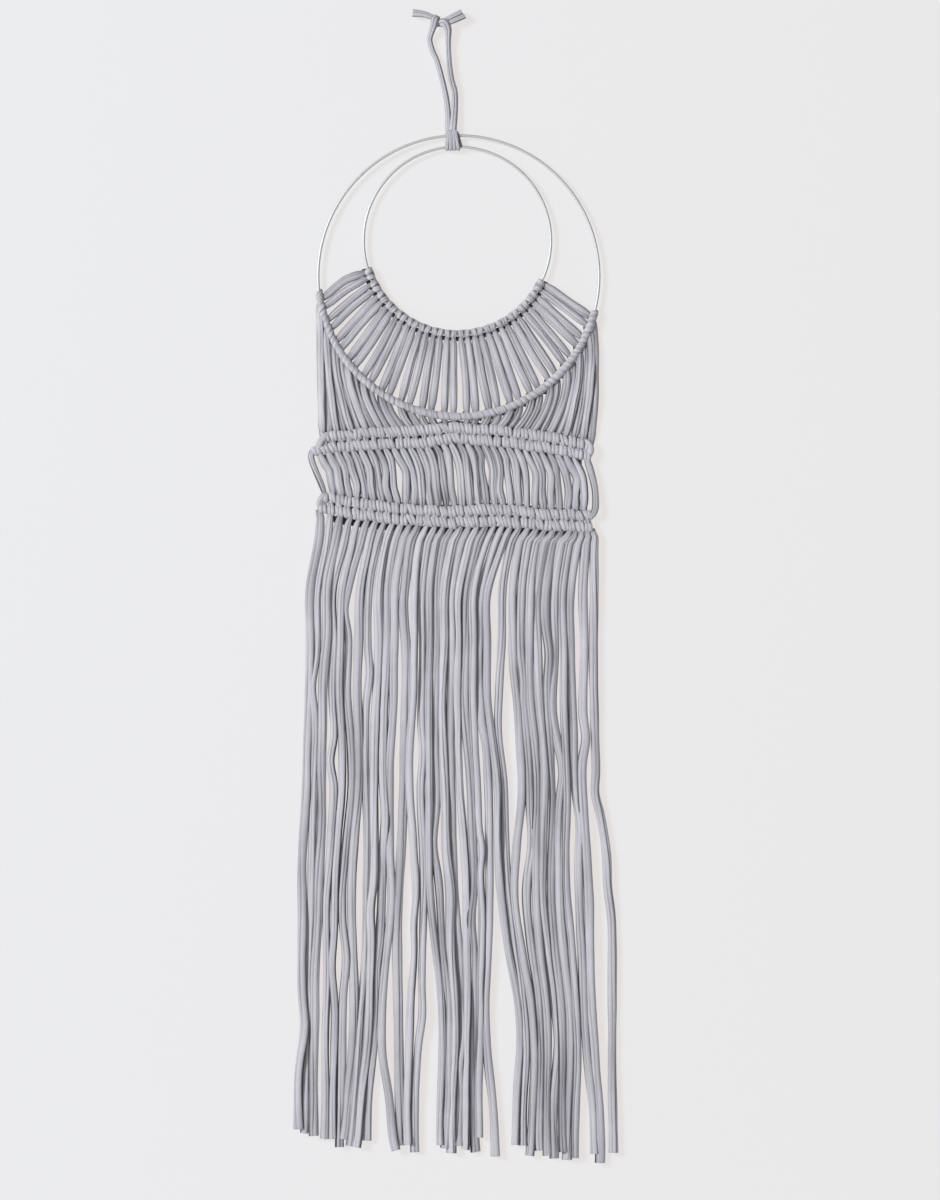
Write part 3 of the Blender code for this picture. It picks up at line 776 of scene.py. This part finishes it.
def add_ring_knots(material):
    """On the small ring: each cord's fold behind it, its two strands wrapped over the front, and
    the inside of the fold where they leave it, painted in deep shade."""
    rng = np.random.default_rng(23)
    cords = Cords()
    radii = np.full(2, WIRE_RADIUS + 1.45 * MM)
    for index in range(STRANDS):
        degrees = inner_angle(index)
        centre = on_circle(INNER_CENTRE, INNER_RADIUS, degrees)
        line, outward = wind(
            centre, tangential(degrees), -radial(degrees), radii * rng.uniform(0.98, 1.06),
            *RING_KNOT_TURNS, 0.2 * MM, -0.8 * MM * pair_side(index),
        )
        cords.add(
            line, outward, rng, width=6.2 * MM * rng.uniform(0.95, 1.05), depth=2.9 * MM,
            crease_and_painted_shade=0.6, crease_at=rng.uniform(-40, 40), twist=5, start_size=0.8, end_size=0.7,
            square=0.8,
        )
    for knot in range(0, STRANDS, 2):
        first, last = inner_angle(knot), inner_angle(knot + 1)
        places = (first - 2.0, first, (first + last) / 2, last, last + 2.0)
        bar = [
            on_circle(INNER_CENTRE, INNER_RADIUS - 2.6 * MM, a) - FRONT * depth * MM
            for a, depth in zip(places, (1.2, 2.4, 2.8, 2.4, 1.2))
        ]
        cords.add(
            smooth_line(bar, SHORT_STEP), FRONT, rng, width=4.6 * MM, depth=3.6 * MM, crease_and_painted_shade=0.5,
            twist=5, start_size=0.7, end_size=0.7,
        )
        # The inside of the fold, painted in deep shade.
        loop = [
            on_circle(INNER_CENTRE, INNER_RADIUS + 4.6 * MM, a) - FRONT * 3.4 * MM
            for a in (first - 2.4, first, (first + last) / 2, last, last + 2.4)
        ]
        cords.add(
            smooth_line(loop, SHORT_STEP), FRONT, rng, width=5.0 * MM, depth=2.6 * MM, crease_and_painted_shade=0.5,
            twist=5, painted_front_shade=1.0,
        )
    piece = cords.make("inner_ring_larks_heads", material)
    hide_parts("inner_ring_knots")
    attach(piece, "rings")


def add_ring_hitches(material):
    """On the large ring: each strand hitched twice round the wire, and cord behind painted in deep
    shade. The turns lean more at the left."""
    rng = np.random.default_rng(29)
    cords = Cords()
    radii = np.full(2, WIRE_RADIUS + 1.4 * MM)
    angles = spread(OUTER_HITCH_ANGLES, STRANDS)
    pitch = math.radians(angles[1] - angles[0]) * OUTER_RADIUS
    for index, degrees in enumerate(angles):
        centre = on_circle(OUTER_CENTRE, OUTER_RADIUS, degrees)
        lean = (2.0 - 1.6 * min(index / 16, 1)) * MM
        line, outward = wind(
            centre, tangential(degrees), -radial(degrees), radii * rng.uniform(0.95, 1.08),
            *RING_HITCH_TURNS, pitch * 0.46, lean,
        )
        cords.add(
            line, outward, rng, width=7.4 * MM * rng.uniform(0.94, 1.05), depth=WRAP_DEPTH,
            crease_and_painted_shade=0.35, crease_at=rng.uniform(-40, 40), twist=6, start_size=0.8, end_size=0.8,
            square=0.95,
        )
        if index in (0, STRANDS - 1):
            continue
        # Cord behind the hitch, painted in deep shade.
        behind = [
            on_circle(OUTER_CENTRE, OUTER_RADIUS + reach * MM, degrees + turn) - FRONT * 3.3 * MM
            for reach, turn in ((-4.5, -1.6), (0.0, 0.0), (4.5, 1.8))
        ]
        cords.add(
            smooth_line(behind, SHORT_STEP), FRONT, rng, width=7.0 * MM, depth=2.6 * MM,
            crease_and_painted_shade=0.5, twist=5, painted_front_shade=1.3,
        )
    piece = cords.make("outer_ring_double_hitches", material)
    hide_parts("outer_ring_hitches")
    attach(piece, "rings")


def add_crescent(material):
    """Strands from the small ring's knots to the large ring's hitches, in pairs."""
    rng = np.random.default_rng(31)
    cords = Cords()
    for index in range(STRANDS):
        inner, outer = inner_angle(index), outer_angle(index)
        start = on_circle(INNER_CENTRE, INNER_RADIUS, inner)
        end = on_circle(OUTER_CENTRE, OUTER_RADIUS, outer)
        way = unit(end - start)
        middle = (start + end) / 2 + rng.normal(0, 0.7, 3) * MM * (1, 0.4, 1)
        middle[2] += 4.0 * MM * max(0, 1 - index / 7)
        layer = (0.5 if index % 2 else -0.5) * MM
        route = [
            start + radial(inner) * 1.0 * MM - FRONT * 2.2 * MM,
            start + radial(inner) * 6.5 * MM - FRONT * 0.8 * MM,
            middle - FRONT * layer,
            end - way * 8 * MM - FRONT * 0.6 * MM,
            end - radial(outer) * 1.0 * MM - FRONT * 2.4 * MM,
        ]
        cords.add(
            smooth_line(route, STRAND_STEP), FRONT, rng, width=CORD_WIDTH * rng.uniform(0.92, 1.16),
            crease_and_painted_shade=0.45, twist=14, start_size=0.5, end_size=0.7, ease_over=13 * MM, painted_flank_shade=0.65,
            painted_end_shade=(0.5, 0.6),
        )
    piece = cords.make("crescent_strands", material)
    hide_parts("crescent_cords")
    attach(piece, "rings")


def add_fans(material):
    """Strands from the outside of the large ring down to the first row, one piece each side."""
    xs = spread(FAN_FEET_X, STRANDS)
    rng = np.random.default_rng(37)
    half = STRANDS // 2
    for name, chosen in (("left", range(half)), ("right", range(half, STRANDS))):
        cords = Cords()
        for index in chosen:
            outer = outer_angle(index)
            start = on_circle(OUTER_CENTRE, OUTER_RADIUS, outer)
            inward = 6 * MM * math.sin(math.pi * index / (STRANDS - 1))
            end = row_point("row_1_upper", xs[index] - inward)
            drop = start[2] - end[2]
            layer = (1.3 if index % 2 else -0.9) * MM
            knee = start + np.array((0.12 if index >= half else 0.0, 0, -1.0)) * drop * 0.42
            knee[0] += rng.normal(0, 1.0) * MM
            turn = np.linspace(0, 1, FAN_POINTS)[:, None]
            line = start * (1 - turn) ** 2 + knee * 2 * turn * (1 - turn) + end * turn**2
            line[:, 1] += layer + BEHIND * np.abs(2 * turn[:, 0] - 1) ** 4
            cords.add(
                smooth_line(line, STRAND_STEP), FRONT, rng,
                width=CORD_WIDTH * rng.uniform(0.94, 1.12), crease_and_painted_shade=0.55, twist=20, start_size=0.7,
                end_size=0.66, ease_over=11 * MM, painted_flank_shade=0.5, painted_end_shade=(0.9, 0.4), beside=(0.6, 0.6),
            )
        piece = cords.make(f"fan_strands_{name}", material)
        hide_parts(f"fan_cords_{name}")
        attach(piece, "rings")


def add_mid_strands(material):
    """Strands between the two double rows. Each leaves its hitch slanting, then hangs."""
    rng = np.random.default_rng(41)
    tops = spread(MID_TOPS_X, STRANDS)
    feet = spread(MID_FEET_X, STRANDS)
    cords = Cords()
    for index, x in enumerate(tops):
        parted = 0
        for after, gap in MID_GAPS_MM.items():
            away = index - after - 0.5
            parted += math.copysign(gap * math.exp(-abs(away) / MID_GAP_REACH), away) * MM
        top = row_point("row_1_lower", x)
        low = row_point("row_2_upper", feet[index])
        layer = (0.9 if index % 2 else -0.6) * MM
        bow = rng.normal(0, 1.0, 2) * MM
        height = top[2] - low[2]
        shift = low[0] - x
        route = [
            *(top + np.array(place) * MM for place in MID_ROOT_MM),
            np.array((x + shift * 0.4 + bow[0] + parted, layer, top[2] - height * 0.42)),
            np.array((x + shift * 0.7 + bow[1] + parted, layer, top[2] - height * 0.68)),
            low + np.array((-0.5, 1.0, 8)) * MM,
            low + np.array((0, BEHIND, 0.5 * MM)),
        ]
        width = CORD_WIDTH * rng.uniform(0.92, 1.18)
        if index in OUTER_MID_MM:
            width, route = (np.array(value) * MM for value in OUTER_MID_MM[index])
        cords.add(
            smooth_line(route, STRAND_STEP), FRONT, rng, width=width, crease_and_painted_shade=0.55, twist=20,
            twist_wave=0.12, start_size=0.55, end_size=0.7, ease_over=13 * MM, painted_flank_shade=0.5,
            painted_end_shade=(0.3, 0.4), beside=(0.7, 0.7),
        )
    piece = cords.make("mid_strands", material)
    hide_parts("mid_cords_upper", "mid_cords_lower")
    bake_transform(piece)


def add_hanging_cord(material):
    """The loop on its nail: two strands, the knot that joins them and the knot's tails."""
    rng = np.random.default_rng(43)
    for name, route in LOOP_STRANDS_MM.items():
        cords = Cords()
        cords.add(
            smooth_line(np.array(route) * MM, SHORT_STEP), FRONT, rng, width=6.4 * MM,
            depth=5.0 * MM, crease_and_painted_shade=0.9, crease_at=-50, twist=8, start_size=0.8, end_size=0.8,
            flare=LOOP_FLARES[name], painted_flank_shade=0.45,
        )
        piece = cords.make(name + "_cord", material)
        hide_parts(name)
        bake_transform(piece)
    cords = Cords()
    for width, painted_front_shade, route in KNOT_BODY_MM:
        cords.add(
            smooth_line(np.array(route) * MM, SHORT_STEP), FRONT, rng, width=width * MM,
            depth=4.2 * MM, crease_and_painted_shade=0.5, crease_at=rng.uniform(-30, 30), twist=8, start_size=0.8,
            end_size=0.7, painted_front_shade=painted_front_shade,
        )
    knot = cords.make("hanging_knot_cord", material)
    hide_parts("hanging_knot")
    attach(knot, "knot")
    for name, strips in TAILS_MM.items():
        cords = Cords()
        for width, flare, hollow, route in strips:
            cords.add(
                smooth_line(np.array(route) * MM, SHORT_STEP), FRONT, rng, width=width * MM,
                depth=3.6 * MM, crease_and_painted_shade=0.5, crease_at=rng.uniform(-20, 20), twist=5, painted_flank_shade=0.85,
                start_size=0.8, cut_end=True, hollow=hollow, flare=flare,
            )
        piece = cords.make(name + "_cord", material)
        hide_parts(name)
        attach(piece, "knot")


def lashing_loop(top_x, low_x, depth, high, low):
    """One turn round both wires, flat in front and behind."""
    angle = np.radians(np.linspace(-95, 262, 30))
    middle, half = (high + low) / 2, (high - low) / 2
    z = middle + half * np.sign(np.cos(angle)) * np.abs(np.cos(angle)) ** 0.8
    y = -depth * np.sign(np.sin(angle)) * np.abs(np.sin(angle)) ** 0.6
    x = top_x + (low_x - top_x) * (high - z) / (high - low)
    line = smooth_line(np.stack([x, y, z], axis=1), SHORT_STEP)
    outward = line - np.array((0, 0, middle))
    outward[:, 0] = 0
    outward[:, 1] *= 2.2
    return line, outward


def add_lashing(material):
    """The turns side by side round both wires, and one behind them at the right, darkened
    with painted shade.
    """
    rng = np.random.default_rng(47)
    low, high = LASHING_Z
    cords = Cords()
    for turn in range(LASHING_TURNS):
        top_x = (8.8 + 2.3 * turn) * MM
        low_x = (6.8 + 4.1 * turn) * MM
        line, outward = lashing_loop(top_x, low_x, 3.4 * MM, high, low + 1.6 * MM)
        cords.add(
            line, outward, rng, width=4.4 * MM, depth=3.6 * MM, crease_and_painted_shade=0.5,
            crease_at=rng.uniform(-40, 40), twist=5, start_size=0.7, end_size=0.7,
        )
    # The turn behind, painted in some shade.
    line, outward = lashing_loop(17.0 * MM, 21.6 * MM, 1.4 * MM, high - 1.0 * MM, low + 4.0 * MM)
    cords.add(line, outward, rng, width=4.4 * MM, depth=3.2 * MM, crease_and_painted_shade=0.6, twist=5, painted_front_shade=0.5)
    piece = cords.make("ring_lashing_cord", material)
    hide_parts("ring_lashing")
    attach(piece, "rings")


# Materials.

def add_node(tree, kind, inputs=None, **settings):
    node = tree.nodes.new(kind)
    for key, value in settings.items():
        setattr(node, key, value)
    for key, value in (inputs or {}).items():
        if isinstance(value, bpy.types.NodeSocket):
            tree.links.new(value, node.inputs[key])
        else:
            node.inputs[key].default_value = value
    return node


def math_node(tree, operation, *values):
    return add_node(tree, "ShaderNodeMath", dict(enumerate(values)), operation=operation).outputs[0]


def noise(tree, scale, detail):
    place = add_node(tree, "ShaderNodeTexCoord").outputs["Object"]
    values = {"Vector": place, "Scale": scale, "Detail": detail}
    return add_node(tree, "ShaderNodeTexNoise", values).outputs[0]


def tinted(tree, colour, value):
    values = {0: colour, 1: value}
    return add_node(tree, "ShaderNodeVectorMath", values, operation="MULTIPLY").outputs[0]


def new_material(name):
    material = bpy.data.materials.new(name)
    material.use_nodes = True
    return material, material.node_tree, material.node_tree.nodes["Principled BSDF"]


def jersey():
    """Cotton jersey: fine ribs along the cord, small stitches, fuzz, and painted shade kept on the
    mesh, darkest in its folds, at its sides and on cord in hollows.
    """
    material, tree, shader = new_material("grey_jersey")
    shader.inputs["Roughness"].default_value = 0.93
    shader.inputs["Sheen Weight"].default_value = 0.35
    shader.inputs["Sheen Roughness"].default_value = 0.45
    shader.inputs["Specular IOR Level"].default_value = 0.2
    uv = add_node(tree, "ShaderNodeUVMap", uv_map="cord").outputs[0]
    parts = add_node(tree, "ShaderNodeSeparateXYZ", {0: uv})
    around = math_node(tree, "MULTIPLY", parts.outputs[0], 26.0)
    along = math_node(tree, "DIVIDE", parts.outputs[1], 1.15 * MM)
    leg = math_node(tree, "PINGPONG", around, 1.0)
    stitch = math_node(tree, "MULTIPLY", math_node(tree, "ADD", along, leg), 2 * math.pi)
    stitch = math_node(tree, "SINE", stitch)
    rib = math_node(tree, "SINE", math_node(tree, "MULTIPLY", around, 2 * math.pi))
    fuzz = noise(tree, 900.0, 3.0)
    patch = noise(tree, 45.0, 4.0)
    tone = add_node(tree, "ShaderNodeAttribute", attribute_name="tone").outputs["Fac"]
    crease_and_painted_shade = add_node(tree, "ShaderNodeAttribute", attribute_name="crease_and_painted_shade").outputs["Fac"]
    value = math_node(tree, "MULTIPLY_ADD", tone, 0.035, 1.0)
    value = math_node(tree, "MULTIPLY_ADD", math_node(tree, "SUBTRACT", patch, 0.5), 0.22, value)
    value = math_node(tree, "MULTIPLY_ADD", math_node(tree, "SUBTRACT", fuzz, 0.5), 0.20, value)
    value = math_node(tree, "MULTIPLY_ADD", stitch, 0.018, value)
    value = math_node(tree, "MULTIPLY_ADD", rib, 0.012, value)
    # Painted shade kept on the mesh darkens the colour.
    value = math_node(tree, "MAXIMUM", math_node(tree, "MULTIPLY_ADD", crease_and_painted_shade, -0.85, value), 0.12)
    tree.links.new(tinted(tree, CORD_COLOUR, value), shader.inputs["Base Color"])
    height = math_node(tree, "MULTIPLY_ADD", stitch, 0.35, math_node(tree, "MULTIPLY", rib, 0.25))
    height = math_node(tree, "MULTIPLY_ADD", fuzz, 0.9, height)
    bumps = {"Strength": 0.35, "Distance": 0.0004, "Height": height}
    bump = add_node(tree, "ShaderNodeBump", bumps)
    tree.links.new(bump.outputs[0], shader.inputs["Normal"])
    return material


def nickel():
    """Plated steel wire, with a fine grain and a little uneven in gloss."""
    material, tree, shader = new_material("satin_nickel_wire")
    shader.inputs["Metallic"].default_value = 0.4
    shader.inputs["Anisotropic"].default_value = 0.4
    grain = noise(tree, 700.0, 4.0)
    patch = noise(tree, 30.0, 3.0)
    rough = math_node(tree, "MULTIPLY_ADD", grain, 0.14, 0.36)
    rough = math_node(tree, "MULTIPLY_ADD", patch, 0.10, rough)
    tree.links.new(rough, shader.inputs["Roughness"])
    value = math_node(tree, "MULTIPLY_ADD", math_node(tree, "SUBTRACT", patch, 0.5), 0.16, 1.0)
    tree.links.new(tinted(tree, WIRE_COLOUR, value), shader.inputs["Base Color"])
    bump = add_node(tree, "ShaderNodeBump", {"Strength": 0.12, "Distance": 0.0001, "Height": grain})
    tree.links.new(bump.outputs[0], shader.inputs["Normal"])
    return material


def plaster():
    """Pale wall, most of it a glow, so that what hangs close to it leaves a faint, warm shadow.
    It shows from the front only, so that the back of the hanging can be seen."""
    material, tree, shader = new_material("pale_wall")
    shader.inputs["Base Color"].default_value = WALL_COLOUR
    shader.inputs["Roughness"].default_value = 0.9
    shader.inputs["Specular IOR Level"].default_value = 0.0
    shader.inputs["Emission Color"].default_value = WALL_GLOW
    shader.inputs["Emission Strength"].default_value = 0.722
    behind = add_node(tree, "ShaderNodeNewGeometry").outputs["Backfacing"]
    clear = add_node(tree, "ShaderNodeBsdfTransparent").outputs[0]
    mix = add_node(tree, "ShaderNodeMixShader", {0: behind, 1: shader.outputs[0], 2: clear})
    tree.links.new(mix.outputs[0], tree.nodes["Material Output"].inputs["Surface"])
    return material


def add_plane(name, corners, material):
    mesh = bpy.data.meshes.new(name)
    mesh.from_pydata(corners, [], [(0, 1, 2, 3)])
    mesh.materials.append(material)
    plane = add_object(name, mesh)
    return plane


def add_room():
    sides = ((-3, FLOOR_Z), (3, FLOOR_Z), (3, 1.4), (-3, 1.4))
    wall = add_plane("wall", [(x, WALL_Y, z) for x, z in sides], plaster())
    wall.visible_shadow = False
    pale, _, shader = new_material("pale_floor")
    shader.inputs["Base Color"].default_value = FLOOR_COLOUR
    shader.inputs["Roughness"].default_value = 0.8
    add_plane("floor", [(x, y, FLOOR_Z) for x, y in ((-6, -6), (6, -6), (6, 6), (-6, 6))], pale)


cord_material = jersey()
wire_material = nickel()
add_camera()
add_fringe(cord_material)
add_studio()
add_room()
add_wire_ring("outer_ring", OUTER_CENTRE, OUTER_RADIUS, wire_material)
add_wire_ring("inner_ring", INNER_CENTRE, INNER_RADIUS, wire_material)
add_ring_knots(cord_material)
add_ring_hitches(cord_material)
add_crescent(cord_material)
add_fans(cord_material)
add_row("row_1_upper", "rings", cord_material, 51)
add_row("row_1_lower", "rings", cord_material, 52)
add_mid_strands(cord_material)
add_row("row_2_upper", "lower_band", cord_material, 53)
add_row("row_2_lower", "lower_band", cord_material, 54)
add_hanging_cord(cord_material)
add_lashing(cord_material)
